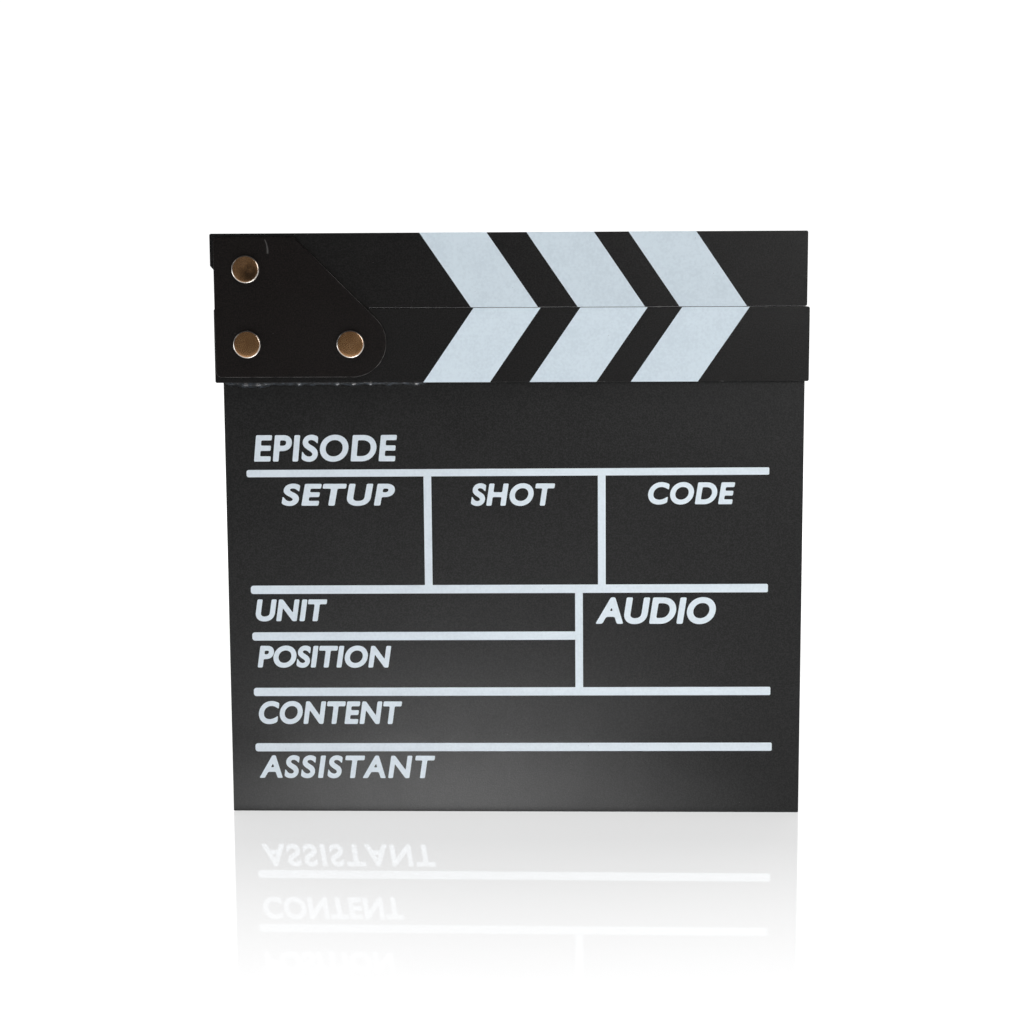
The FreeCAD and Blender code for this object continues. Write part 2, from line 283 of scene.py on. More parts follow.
    def bump(self, height: Signal, depth: float) -> Signal:
        """Surface normals from a height between 0 and 1 that stands for a depth in metres."""
        return self.signal("ShaderNodeBump", inputs={"Distance": depth, "Height": height})


@dataclass(frozen=True)
class Finish(ABC):
    """A surface finish drawn by one shader."""

    name: str

    @abstractmethod
    def inputs(self, graph: Graph) -> dict[str, Any]:
        """Work out the shader's inputs, by socket name."""

    def material(self) -> bpy.types.Material:
        """Make the finish as a new material.

        Returns:
            The material.
        """
        made = bpy.data.materials.new(self.name)
        made.use_nodes = True
        graph = Graph(made.node_tree)
        shader = graph.signal("ShaderNodeBsdfPrincipled", inputs=self.inputs(graph))
        graph.node("ShaderNodeOutputMaterial", inputs={"Surface": shader})
        return made


@dataclass(frozen=True)
class BlackPaint(Finish):
    """Black paint with a fine tooth, uneven gloss, dust and worn edges, on a box-shaped piece."""

    low: Vector
    high: Vector
    dark: Colour = (0.0014, 0.0013, 0.0013)
    pale: Colour = (0.0100, 0.0094, 0.0091)
    dust: Colour = (0.060, 0.058, 0.056)
    worn: Colour = (0.120, 0.118, 0.114)
    gloss_level: float = 0.19
    roughness: float = 0.42
    roughness_swing: float = 0.12
    tooth_share: float = 0.5
    tooth_fade: Span = (0.3, 0.75)
    tooth: float = 0.45 * MM
    tooth_depth: float = 0.040 * MM
    tooth_stretch: Triple = (1.0, 1.0, 1.0)
    blotch: float = 16.0 * MM
    dust_spacing: float = 2.6 * MM
    dust_radius: float = 0.16 * MM
    dust_share: float = 0.10
    wear_width: float = 0.22 * MM
    wear_patch: float = 2.4 * MM
    wear_from: float = 0.56
    wear_full: float = 0.72

    def height(self, graph: Graph, tooth: Signal) -> Signal:
        """Height of the paint film, between 0 and 1."""
        return tooth

    def marks(self, graph: Graph) -> Iterable[tuple[Colour, Signal]]:
        """List the colours that lie over the paint.

        Args:
            graph: the node tree to draw in.

        Returns:
            Dust and worn edges, each as a colour with its mask.
        """
        yield self.dust, graph.specks(self.dust_spacing, self.dust_radius, self.dust_share)
        rim = graph.near(graph.edge_distance(self.low, self.high), self.wear_width)
        patches = graph.noise(self.wear_patch, detail=4.0)
        yield self.worn, rim * graph.step(patches, self.wear_from, self.wear_full)

    def inputs(self, graph: Graph) -> dict[str, Any]:
        """Work out the shader's inputs.

        Args:
            graph: the node tree to draw in.

        Returns:
            Values and signals by socket name.
        """
        tooth = graph.noise(self.tooth, stretch=self.tooth_stretch)
        blotch = graph.noise(self.blotch, detail=3.0)
        colour = graph.mix(self.dark, self.pale, graph.step(tooth, *self.tooth_fade))
        for tint, mask in self.marks(graph):
            colour = graph.mix(colour, tint, mask)
        uneven = (blotch - NOISE_MEAN) + self.tooth_share * (tooth - NOISE_MEAN)
        return {
            "Base Color": colour,
            "Roughness": self.roughness + self.roughness_swing * uneven,
            "Specular IOR Level": self.gloss_level,
            "Normal": graph.bump(self.height(graph, tooth), self.tooth_depth),
        }


@dataclass(frozen=True)
class BoardPaint(BlackPaint):
    """Satin paint on fibreboard, whose cut edges show fuzzy fibres under the paint."""

    fibre: float = 0.35 * MM
    fibre_stretch: Triple = (3.0, 1.0, 3.0)
    fibre_gain: float = 2.0
    cut_width: float = 0.28 * MM
    cut_tint: Colour = (0.016, 0.0155, 0.015)

    def cut(self, graph: Graph) -> Signal:
        """Find the sawn edges at the sides and at the bottom.

        Args:
            graph: the node tree to draw in.

        Returns:
            A mask that is 1 on them.
        """
        along, _, up = graph.axes(graph.point)
        side = graph.math("MINIMUM", along - self.low.x, self.high.x - along)
        gap = graph.math("MINIMUM", side, up - self.low.z)
        return graph.near(gap, self.cut_width, core=0.4)

    def height(self, graph: Graph, tooth: Signal) -> Signal:
        """Raise fibres on the sawn edges and leave the roller's tooth on the faces.

        Args:
            graph: the node tree to draw in.
            tooth: the paint's own height.

        Returns:
            The height over both.
        """
        fibres = graph.noise(self.fibre, detail=4.0, stretch=self.fibre_stretch)
        cut = self.cut(graph)
        return tooth * (1.0 - cut) + self.fibre_gain * fibres * cut

    def marks(self, graph: Graph) -> Iterable[tuple[Colour, Signal]]:
        """The sawn edges take the paint unevenly, besides dust and worn corners."""
        patches = graph.noise(self.fibre, detail=3.0, stretch=self.fibre_stretch)
        yield self.cut_tint, self.cut(graph) * patches
        yield from super().marks(graph)


@dataclass(frozen=True)
class StickPaint(BlackPaint):
    """Paint on planed wood: the grain runs along the stick and the ends show end grain."""

    streak: float = 0.9 * MM
    streak_stretch: Triple = (26.0, 1.0, 1.0)
    streak_share: float = 0.35
    end_grain: float = 0.30 * MM
    end_gain: float = 2.0
    end_width: float = 0.20 * MM
    clap_face: float = 0.0
    clap_width: float = 0.25 * MM
    matt_start: float = -5.0 * MM
    matt_end: float = -35.0 * MM
    matt_gain: float = 0.55

    def height(self, graph: Graph, tooth: Signal) -> Signal:
        """Lay the grain's streaks under the paint, and pores on the two ends.

        Args:
            graph: the node tree to draw in.
            tooth: the paint's own height.

        Returns:
            The height over all of them.
        """
        streaks = graph.noise(self.streak, detail=3.0, stretch=self.streak_stretch)
        pores = graph.noise(self.end_grain, detail=4.0)
        along = graph.axes(graph.point)[0]
        gap = graph.math("MINIMUM", along - self.low.x, self.high.x - along)
        end = graph.near(gap, self.end_width, core=0.4)
        faces = tooth * (1.0 - self.streak_share) + streaks * self.streak_share
        return faces * (1.0 - end) + self.end_gain * pores * end

    def inputs(self, graph: Graph) -> dict[str, Any]:
        """Work out the shader's inputs, with the clapping face dull towards the hinge.

        Args:
            graph: the node tree to draw in.

        Returns:
            Values and signals by socket name.
        """
        made = super().inputs(graph)
        along, _, up = graph.axes(graph.point)
        face = graph.near(graph.math("ABSOLUTE", up - self.clap_face), self.clap_width)
        dull = face * graph.step(along, self.matt_start, self.matt_end)
        made["Roughness"] = made["Roughness"] + self.matt_gain * dull
        return made


@dataclass(frozen=True)
class PlateCoat(BlackPaint):
    """Baked coat on a thin sheet plate, with a painted highlight on its eased rim that is strongest
    low down and broken into patches, and one scuff on the face.
    """

    face: float = 0.0
    dark: Colour = (0.0014, 0.0009, 0.0008)
    pale: Colour = (0.0092, 0.0066, 0.0058)
    gloss_level: float = 0.17
    rim_start: float = 0.03 * MM
    rim_full: float = 0.16 * MM
    # The rim colour is a painted highlight for the plate's edge faces, not the coat's own tone.
    rim: Colour = (0.420, 0.406, 0.393)
    highlight_fade_start: float = 4.0 * MM
    highlight_fade_end: float = 15.0 * MM
    highlight_upper_share: float = 0.24
    highlight_low_start: float = 30.0 * MM
    highlight_low_end: float = 44.0 * MM
    highlight_patch_fade: Span = (0.25, 0.6)
    scuff: Colour = (0.095, 0.092, 0.090)
    scuff_top: Vector = field(default_factory=lambda: Vector((-82.75, 0.0, 198.1)) * MM)
    scuff_end: Vector = field(default_factory=lambda: Vector((-81.85, 0.0, 193.1)) * MM)
    scuff_bow: float = 0.35 * MM
    scuff_width: float = 0.50 * MM
    scuff_start: float = 0.45
    scuff_head_fade: Span = (-0.02, 0.08)
    scuff_foot_fade: Span = (1.02, 0.9)
    scuff_side_fade: Span = (0.0, 0.8)
    scuff_grain: float = 0.5 * MM
    scuff_cover: Span = (0.35, 0.6)

    def scuff_mask(self, graph: Graph) -> Signal:
        """Draw a short bowed rub mark, widest at its lower end.

        Args:
            graph: the node tree to draw in.

        Returns:
            A mask that is strongest along the middle of the mark.
        """
        along, _, up = graph.axes(graph.point)
        drop = self.scuff_top.z - self.scuff_end.z
        share = graph.math("DIVIDE", self.scuff_top.z - up, drop)
        head = graph.step(share, *self.scuff_head_fade)
        foot = graph.step(share, *self.scuff_foot_fade)
        bow = 4.0 * self.scuff_bow * (share * (1.0 - share))
        line = self.scuff_top.x + (self.scuff_end.x - self.scuff_top.x) * share + bow
        width = self.scuff_width * (self.scuff_start + (1.0 - self.scuff_start) * share)
        gap = graph.math("ABSOLUTE", along - line)
        side = graph.step(1.0 - graph.math("DIVIDE", gap, width), *self.scuff_side_fade)
        least, swing = self.scuff_cover
        cover = least + swing * graph.noise(self.scuff_grain, detail=3.0)
        return head * foot * side * cover

    def marks(self, graph: Graph) -> Iterable[tuple[Colour, Signal]]:
        """List the colours that lie over the coat.

        Args:
            graph: the node tree to draw in.

        Returns:
            Dust, a painted highlight on the rim that grows below its top edge and is broken into
            patches, and the front plate's scuff.
        """
        yield self.dust, graph.specks(self.dust_spacing, self.dust_radius, self.dust_share)
        _, across, up = graph.axes(graph.point)
        depth = graph.math("ABSOLUTE", across - self.face)
        drop = self.high.z - up
        low = graph.step(drop, self.highlight_low_start, self.highlight_low_end)
        share = self.highlight_upper_share + (1.0 - self.highlight_upper_share) * low
        below = share * graph.step(drop, self.highlight_fade_start, self.highlight_fade_end)
        patches = graph.noise(self.wear_patch, detail=3.0)
        painted_highlight_mask = graph.step(patches, *self.highlight_patch_fade) * below
        inner = self.high.y - self.low.y - self.rim_start
        outside = graph.step(depth, self.rim_start, self.rim_full)
        inside = graph.step(depth, inner, inner - self.rim_full)
        # Painted highlight: the edge faces turn pale grey, fully along the lower edges and the
        # nose, weakly higher up and not at all near the top edge, in noise patches.
        yield self.rim, outside * inside * painted_highlight_mask
        if self.face < 0.0:
            yield self.scuff, self.scuff_mask(graph)


@dataclass(frozen=True)
class RivetMetal(Finish):
    """Plated cap: a flat coloured brown as a painted reflection of a warm room and mottled by
    tarnish, a silvery rim band, and a patch that darkens the flat towards its lower right.
    """

    centre: Vector
    flat_radius: float
    rim_radius: float
    dark_patch: float
    # The flat's brown and its tarnished dull variant are a painted reflection of a warm room, not
    # the plating's own colour.
    painted_reflection_brown: Colour = (0.72, 0.395, 0.185)
    dull: Colour = (0.58, 0.330, 0.165)
    silver: Colour = (0.44, 0.415, 0.385)
    dark: Colour = (0.13, 0.080, 0.045)
    # A patch low and to the right of the cap's centre darkens the flat towards the dark colour.
    dark_patch_place: Vector = field(default_factory=lambda: Vector((1.7, 0.0, -1.9)) * MM)
    dark_patch_radius: float = 4.6 * MM
    dark_patch_wander: float = 1.5 * MM
    roughness: float = 0.20
    tarnish: float = 3.4 * MM
    tarnish_fade: Span = (0.42, 0.72)
    tarnish_roughness: float = 0.06
    brush: float = 0.20 * MM
    brush_stretch: Triple = (10.0, 1.0, 1.0)
    brush_depth: float = 0.0002 * MM
    brush_roughness: float = 0.04

    def inputs(self, graph: Graph) -> dict[str, Any]:
        """Work out the shader's inputs.

        Args:
            graph: the node tree to draw in.

        Returns:
            Values and signals by socket name.
        """
        along, _, up = graph.axes(graph.centred(self.centre))
        radius = graph.distance(along, up)
        brush = graph.noise(self.brush, stretch=self.brush_stretch)
        tarnish = graph.step(graph.noise(self.tarnish, detail=1.0), *self.tarnish_fade)
        # Painted reflection: the flat is tinted brown, and tarnish shifts it towards the dull
        # brown.
        flat = graph.mix(self.painted_reflection_brown, self.dull, tarnish)
        # The flat darkens in a patch towards the cap's lower right.
        aside, _, below = graph.axes(graph.centred(self.centre + self.dark_patch_place))
        gap = graph.distance(aside, below) + self.dark_patch_wander * (tarnish - NOISE_MEAN)
        dark_patch = self.dark_patch * graph.near(gap, self.dark_patch_radius, core=0.0)
        flat = graph.mix(flat, self.dark, dark_patch)
        colour = graph.mix(flat, self.silver, graph.step(radius, self.flat_radius, self.rim_radius))
        uneven = self.tarnish_roughness * tarnish + self.brush_roughness * (brush - NOISE_MEAN)
        return {
            "Base Color": colour,
            "Metallic": 1.0,
            "Roughness": self.roughness + uneven,
            "Normal": graph.bump(brush, self.brush_depth),
        }


@dataclass(frozen=True)
class DriedGlue(Finish):
    """Dried clear glue over black paint: smooth, with a skin that is cloudy in places."""

    drops: tuple[float, ...]
    clear: Colour = (0.010, 0.012, 0.014)
    cloudy: Colour = (0.042, 0.052, 0.066)
    cloud: float = 2.2 * MM
    cloud_fade: Span = (0.42, 0.72)
    ripple: float = 0.7 * MM
    ripple_depth: float = 0.14 * MM
    drop_reach: float = 1.0 * MM
    glint_fade: Span = (0.66, 0.72)
    glint_polish: float = 0.25
    glint_roughness: float = 0.05
    roughness: float = 0.38
    cloud_roughness: float = 0.12
    gloss_level: float = 0.18

    def glint(self, graph: Graph) -> Signal:
        """Find the drops that stayed clear and shiny.

        Args:
            graph: the node tree to draw in.

        Returns:
            A mask that is 1 on them.
        """
        along = graph.axes(graph.point)[0]
        mask = graph.step(graph.noise(self.ripple), *self.glint_fade)
        for place in self.drops:
            gap = graph.math("ABSOLUTE", along - place)
            mask = graph.math("MAXIMUM", mask, graph.near(gap, self.drop_reach))
        return mask

    def inputs(self, graph: Graph) -> dict[str, Any]:
        """Work out the shader's inputs.

        Args:
            graph: the node tree to draw in.

        Returns:
            Values and signals by socket name.
        """
        cloud = graph.step(graph.noise(self.cloud, detail=3.0), *self.cloud_fade)
        ripple = graph.noise(self.ripple)
        glint = self.glint(graph)
        matt = self.roughness + self.cloud_roughness * cloud
        return {
            "Base Color": graph.mix(self.clear, self.cloudy, cloud),
            "Roughness": matt - self.glint_polish * glint,
            "Specular IOR Level": self.gloss_level,
            "Coat Weight": glint,
            "Coat Roughness": self.glint_roughness,
            "Normal": graph.bump(ripple, self.ripple_depth),
        }


@dataclass(frozen=True)
class PrintInk(Finish):
    """Screen-printed white ink: slightly cool, mottled, with a few pinholes."""

    white: Colour
    thin: Colour
    hole: Colour = (0.20, 0.22, 0.24)
    mottle: float = 0.9 * MM
    mottle_share: float = 0.6
    mottle_roughness: float = 0.12
    cloud: float = 9.0 * MM
    thin_fade: Span = (0.38, 0.68)
    hole_spacing: float = 3.2 * MM
    hole_radius: float = 0.14 * MM
    hole_share: float = 0.12
    roughness: float = 0.58
    gloss_level: float = 0.3
    tooth_depth: float = 0.010 * MM

    def film(self, graph: Graph, thinness: Signal) -> Signal:
        """Colour of the ink film, from full to thin."""
        return graph.mix(self.white, self.thin, thinness)

    def inputs(self, graph: Graph) -> dict[str, Any]:
        """Work out the shader's inputs.

        Args:
            graph: the node tree to draw in.

        Returns:
            Values and signals by socket name.
        """
        mottle = graph.noise(self.mottle, detail=3.0)
        cloud = graph.noise(self.cloud)
        cover = self.mottle_share * mottle + (1.0 - self.mottle_share) * cloud
        colour = self.film(graph, graph.step(cover, *self.thin_fade))
        holes = graph.specks(self.hole_spacing, self.hole_radius, self.hole_share)
        return {
            "Base Color": graph.mix(colour, self.hole, holes),
            "Roughness": self.roughness + self.mottle_roughness * (mottle - NOISE_MEAN),
            "Specular IOR Level": self.gloss_level,
            "Normal": graph.bump(mottle, self.tooth_depth),
        }


@dataclass(frozen=True)
class FieldInk(PrintInk):
    """Ink of the field print, with painted light: it grows brighter towards the board's right side,
    as if lit more strongly there.
    """

    # Painted light: the print is whiter towards the right, as if lit more strongly from that side.
    right_lit_white: Colour = (0.800, 0.890, 0.955)
    right_lit_thin: Colour = (0.745, 0.830, 0.890)
    light_gradient_start: float = -60.0 * MM
    light_gradient_end: float = 60.0 * MM

    def film(self, graph: Graph, thinness: Signal) -> Signal:
        """Mix the colour of the ink film, which brightens from left to right as painted light.

        Args:
            graph: the node tree to draw in.
            thinness: 0 where the film is full and 1 where it is thin.

        Returns:
            The film's colour.
        """
        left = super().film(graph, thinness)
        # Painted light: the film brightens from left to right.
        right = graph.mix(self.right_lit_white, self.right_lit_thin, thinness)
        along = graph.axes(graph.point)[0]
        return graph.mix(left, right, graph.step(along, self.light_gradient_start, self.light_gradient_end))


@dataclass(frozen=True)
class StudioFloor(Finish):
    """Pale acrylic table top lit from below, whose mirror image fades out towards the front."""

    white: Colour = (0.350, 0.350, 0.350)
    shade: Colour = (0.345, 0.345, 0.345)
    glow: float = 0.61
    cloud: float = 0.4
    roughness: float = 0.8
    roughness_swing: float = 0.1
    gloss_start: float = -188.0 * MM
    gloss_end: float = -34.0 * MM
    gloss_index: float = 1.73
    gloss_roughness: float = 0.008
    far_start: float = 0.30
    far_end: float = 0.62
    near_glow: Colour = WHITE
    far_glow: Colour = (1.7, 1.7, 1.7)

    def inputs(self, graph: Graph) -> dict[str, Any]:
        """Work out the shader's inputs.

        Args:
            graph: the node tree to draw in.

        Returns:
            Values and signals by socket name.
        """
        cloud = graph.noise(self.cloud)
        along, across, _ = graph.axes(graph.point)
        seen = graph.signal("ShaderNodeLightPath", output="Is Camera Ray")
        far = graph.ramp(graph.distance(along, across), self.far_start, self.far_end)
        return {
            "Base Color": graph.mix(self.white, self.shade, cloud),
            "Roughness": self.roughness + self.roughness_swing * cloud,
            "Specular IOR Level": 0.0,
            "Coat Weight": (1.0 - far) * graph.ramp(across, self.gloss_start, self.gloss_end),
            "Coat Roughness": self.gloss_roughness,
            "Coat IOR": self.gloss_index,
            "Emission Color": graph.mix(self.near_glow, self.far_glow, seen * far),
            "Emission Strength": self.glow,
        }


def new_object(name: str, data: bpy.types.ID) -> bpy.types.Object:
    """Put new data into the scene as an object at the origin.

    Args:
        name: the object's name.
        data: its mesh, text, light or camera.

    Returns:
        The object.
    """
    made = bpy.data.objects.new(name, data)
    bpy.context.scene.collection.objects.link(made)
    return made


def round_corners(
    shape: bmesh.types.BMesh,
    corners: list[bmesh.types.BMVert],
    radius: float,
    steps: int,
    clamp: bool = False,
) -> None:
    """Round the corners of an outline.

    Args:
        shape: the shape that holds the outline.
        corners: the points to round.
        radius: how far from a corner its rounding starts.
        steps: the number of segments in a rounding.
        clamp: whether roundings that would overlap are kept apart.
    """
    bmesh.ops.bevel(
        shape,
        geom=corners,
        affect="VERTICES",
        offset=radius,
        segments=steps,
        profile=0.5,
        material=-1,
        clamp_overlap=clamp,
    )


class Assembly(ABC):
    """A group of pieces that are made and dressed together."""

    body: Body = Body.SLATE

    @abstractmethod
    def build(self) -> None:
        """Make the assembly's pieces and dress them."""

    def dress(self, node: str, material: bpy.types.Material) -> None:
        """Give a kept node its material and report it.

        Args:
            node: the node's name.
            material: the material that covers it.
        """
        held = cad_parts[node]
        held.data.materials.clear()
        held.data.materials.append(material)
        LOG.info("dressed %s in %s", node, material.name)

    def add(
        self,
        shape: bmesh.types.BMesh,
        name: str,
        slot: Slot,
        material: bpy.types.Material,
        replaced: Iterable[str] = (),
    ) -> None:
        """Turn a finished shape into a piece that rides on this assembly's body.

        Args:
            shape: the shape in the part's frame, which is freed here.
            name: the piece's name.
            slot: the record's slot meant for its finish; not used.
            material: its material.
            replaced: the nodes that it stands for.
        """
        bmesh.ops.remove_doubles(shape, verts=shape.verts, dist=MERGE_DISTANCE)
        bmesh.ops.recalc_face_normals(shape, faces=shape.faces)
        mesh = bpy.data.meshes.new(name)
        shape.to_mesh(mesh)
        shape.free()
        mesh.shade_smooth()
        mesh.set_sharp_from_angle(angle=SHARP_ANGLE)
        mesh.materials.append(material)
        piece = new_object(name, mesh)
        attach(piece, self.body.value)
        if replaced:
            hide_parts(*replaced)
        LOG.info("built %s on %s: %d faces", name, self.body.value, len(mesh.polygons))


@dataclass
class SlateBoard(Assembly):
    """The painted fibreboard panel."""

    node: str = "slate_board"

    def build(self) -> None:
        """Dress the board in satin paint."""
        low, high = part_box(self.node)
        paint = BoardPaint(
            "board_paint",
            low,
            high,
            dark=(0.0025, 0.0025, 0.0026),
            pale=(0.0145, 0.0146, 0.0147),
            gloss_level=0.26,
            roughness=0.40,
            wear_from=0.60,
        )
        self.dress(self.node, paint.material())


@dataclass
class ClapStick(Assembly):
    """One clap stick with its three white stripes."""

    label: str
    wear_from: float
    ink_white: Colour
    ink_thin: Colour
    body: Body = Body.SLATE
    stripe_count: int = 3

    def build(self) -> None:
        """Dress the stick in black paint and its stripes in white ink."""
        node = f"{self.label}_stick"
        low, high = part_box(node)
        clap_face = low.z if self.body is Body.CLAP_STICK else high.z
        paint = StickPaint(
            f"{node}_paint", low, high, wear_from=self.wear_from, clap_face=clap_face
        )
        self.dress(node, paint.material())
        ink = PrintInk(f"{self.label}_stripe_ink", self.ink_white, self.ink_thin).material()
        for count in range(1, self.stripe_count + 1):
            self.dress(f"{self.label}_stripe_{count}", ink)


@dataclass
class HingePlates(Assembly):
    """The two sheet plates that carry the pivot."""

    def build(self) -> None:
        """Dress both plates, each from its own outer face."""
        for side in ("front", "back"):
            node = f"{side}_hinge_plate"
            low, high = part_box(node)
            face = low.y if side == "front" else high.y
            coat = PlateCoat(f"{side}_plate_coat", low, high, face=face)
            self.dress(node, coat.material())


@dataclass
class Rivet(Assembly):
    """One capped rivet: a pin half in front and a socket half behind."""

    label: str
    # How strongly the cap's flat darkens in a patch towards its lower right.
    dark_patch: float
    crown: float = 0.10 * MM
    crown_steps: int = 5
    rim_round: float = 0.62 * MM
    rim_steps: int = 6
    silver_share: float = 0.45
    lip: float = 0.15 * MM
    pin_radius: float = 1.25 * MM
    pin_ease: float = 0.25 * MM
    tube_radius: float = 2.0 * MM
    bore_radius: float = 1.3 * MM
    turn_steps: int = 72

    def build(self) -> None:
        """Spin both halves and dress them in one plated metal."""
        low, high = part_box(f"{self.label}_rivet_pin")
        centre = (low + high) / 2.0
        radius = (high.x - low.x) / 2.0
        flat = radius - self.rim_round
        rim = flat + self.silver_share * self.rim_round
        metal = RivetMetal(f"{self.label}_rivet_metal", centre, flat, rim, self.dark_patch)
        material = metal.material()
        for half in RivetHalf:
            self.spin_half(half, radius, material)

    def spin_half(self, half: RivetHalf, radius: float, material: bpy.types.Material) -> None:
        """Spin one half about the rivet's axis.

        Args:
            half: which half it is.
            radius: the cap's radius.
            material: the plated metal.
        """
        node = f"{self.label}_rivet_{half.name.lower()}"
        low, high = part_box(node)
        side = "front" if half is RivetHalf.PIN else "back"
        plate_low, plate_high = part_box(f"{side}_hinge_plate")
        cap = plate_low.y - low.y if half is RivetHalf.PIN else high.y - plate_high.y
        length = high.y - low.y
        shape = bmesh.new()
        outline = self.cap_outline(radius, cap)
        outline += self.shank_outline(half, cap, length)
        points = [shape.verts.new((reach, depth, 0.0)) for reach, depth in outline]
        for start, end in zip(points, points[1:]):
            shape.edges.new((start, end))
        round_corners(shape, [points[self.crown_steps + 1]], self.rim_round, self.rim_steps)
        bmesh.ops.spin(
            shape,
            geom=shape.verts[:] + shape.edges[:],
            cent=(0.0, 0.0, 0.0),
            axis=Y_AXIS,
            angle=math.tau,
            steps=self.turn_steps,
            use_merge=True,
        )
        top = low.y if half is RivetHalf.PIN else high.y
        place = Matrix.Translation(((low.x + high.x) / 2.0, top, (low.z + high.z) / 2.0))
        turn = Matrix.Scale(-half.value, 4, Y_AXIS)
        bmesh.ops.transform(shape, matrix=place @ turn, verts=shape.verts)
        self.add(shape, f"{node}_turned", Slot.RIVET, material, [node])

    def cap_outline(self, radius: float, cap: float) -> Outline:
        """Outline of the cap as (radius, depth) pairs, from the middle of its top outwards.

        Args:
            radius: the cap's radius.
            cap: the cap's height.

        Returns:
            A faint crown, the rim's corner, and the lip that meets the plate.
        """
        shares = [step / self.crown_steps for step in range(self.crown_steps + 1)]
        flat = radius - self.rim_round
        crown = [(flat * share, self.crown * share**2) for share in shares]
        return crown + [(radius, self.crown), (radius, cap - self.lip), (radius - self.lip, cap)]

    def shank_outline(self, half: RivetHalf, cap: float, length: float) -> Outline:
        """Outline of the shank as (radius, depth) pairs, from the cap to the axis.

        Args:
            half: the pin is solid, and the socket is a tube.
            cap: the cap's height, where the shank starts.
            length: the half's whole length.

        Returns:
            The shank's corners.
        """
        if half is RivetHalf.PIN:
            tip = self.pin_radius - self.pin_ease
            return [
                (self.pin_radius, cap),
                (self.pin_radius, length - self.pin_ease),
                (tip, length),
                (0.0, length),
            ]
        return [
            (self.tube_radius, cap),
            (self.tube_radius, length),
            (self.bore_radius, length),
            (self.bore_radius, cap),
            (0.0, cap),
        ]


@dataclass
class GlueJoint(Assembly):
    """Glue in the board's groove, and the lumpy bead squeezed out along its front corner."""

    ring_step: float = 0.5 * MM
    arc_steps: int = 8
    end_leg: float = 0.25 * MM
    swell_leg: float = 1.85 * MM
    tail_leg: float = 1.05 * MM
    swell_share: float = 0.13
    swell_reach_share: float = 0.085
    lump: float = 2.6 * MM
    lump_swing: float = 0.45
    end_length: float = 2.0 * MM
    drop_leg: float = 0.45 * MM
    drop_width: float = 1.0 * MM
    drop_shares: tuple[float, ...] = (0.11, 0.17, 0.37, 0.56, 0.64, 0.72, 0.95)

    def build(self) -> None:
        """Dress the hidden glue and draw the bead along the corner."""
        low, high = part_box("glue_bead")
        drops = tuple(low.x + share * (high.x - low.x) for share in self.drop_shares)
        material = DriedGlue("dried_glue", drops).material()
        self.dress("groove_glue", material)
        self.draw_bead(material)

    def leg(self, share: float, length: float) -> float:
        """Size of the bead's section at a share of its length.

        Args:
            share: the place along the bead, 0 at its left end.
            length: the bead's length.

        Returns:
            How far the glue reaches along both faces of the corner.
        """
        reach = (share - self.swell_share) / self.swell_reach_share
        body = self.tail_leg + (self.swell_leg - self.tail_leg) * math.exp(-(reach**4))
        place = Vector((share * length / self.lump, 0.0, 0.0))
        body *= 1.0 + self.lump_swing * noise.noise(place)
        for drop in self.drop_shares:
            gap = (share - drop) * length / self.drop_width
            body += self.drop_leg * math.exp(-gap * gap)
        ends = min(1.0, min(share, 1.0 - share) * length / self.end_length)
        return self.end_leg + (body - self.end_leg) * math.sqrt(ends)

    def draw_bead(self, material: bpy.types.Material) -> None:
        """Extrude a quarter-round section along the corner, ring by ring.

        Args:
            material: the dried glue.
        """
        low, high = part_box("glue_bead")
        limit = high.z - low.z
        length = high.x - low.x
        corner = Vector((low.x, high.y, high.z))
        shape = bmesh.new()
        seat = shape.verts.new(corner)
        first = shape.verts.new(corner - Y_AXIS)
        bmesh.ops.spin(
            shape, geom=[first], cent=corner, axis=X_AXIS, angle=math.pi / 2.0, steps=self.arc_steps
        )
        shape.verts.ensure_lookup_table()
        section = shape.faces.new([seat] + shape.verts[1:])
        rings = round(length / self.ring_step)
        sizes = [min(limit, self.leg(ring / rings, length)) for ring in range(rings + 1)]
        origin = Matrix.Translation(-corner)
        even = Vector((1.0, 1.0, 1.0)) * sizes[0]
        bmesh.ops.scale(shape, vec=even, space=origin, verts=shape.verts)
        for ring in range(1, rings + 1):
            grown = bmesh.ops.extrude_face_region(shape, geom=[section, *section.edges])
            section = next(part for part in grown["geom"] if isinstance(part, bmesh.types.BMFace))
            corner.x = low.x + length * ring / rings
            bmesh.ops.translate(shape, vec=X_AXIS * length / rings, verts=section.verts)
            ratio = sizes[ring] / sizes[ring - 1]
            bmesh.ops.scale(
                shape,
                vec=(1.0, ratio, ratio),
                space=Matrix.Translation(-corner),
                verts=section.verts,
            )
        self.add(shape, "glue_bead_squeezed", Slot.GLUE, material, ["glue_bead"])


@dataclass(frozen=True)
class Bar:
    """One printed bar on the board's face, by its four sides and rounded ends, in millimetres."""

    left: float
    right: float
    low: float
    high: float
    start_round: float = 0.0
    end_round: float = 0.0


@dataclass(frozen=True)
class FieldWord:
    """One printed word, by the box that it fills on the board's face, in millimetres."""

    name: str
    text: str
    left: float
    right: float
    low: float
    high: float
    spacing: float
    weight: float = 0.040
    slant: float = 0.15


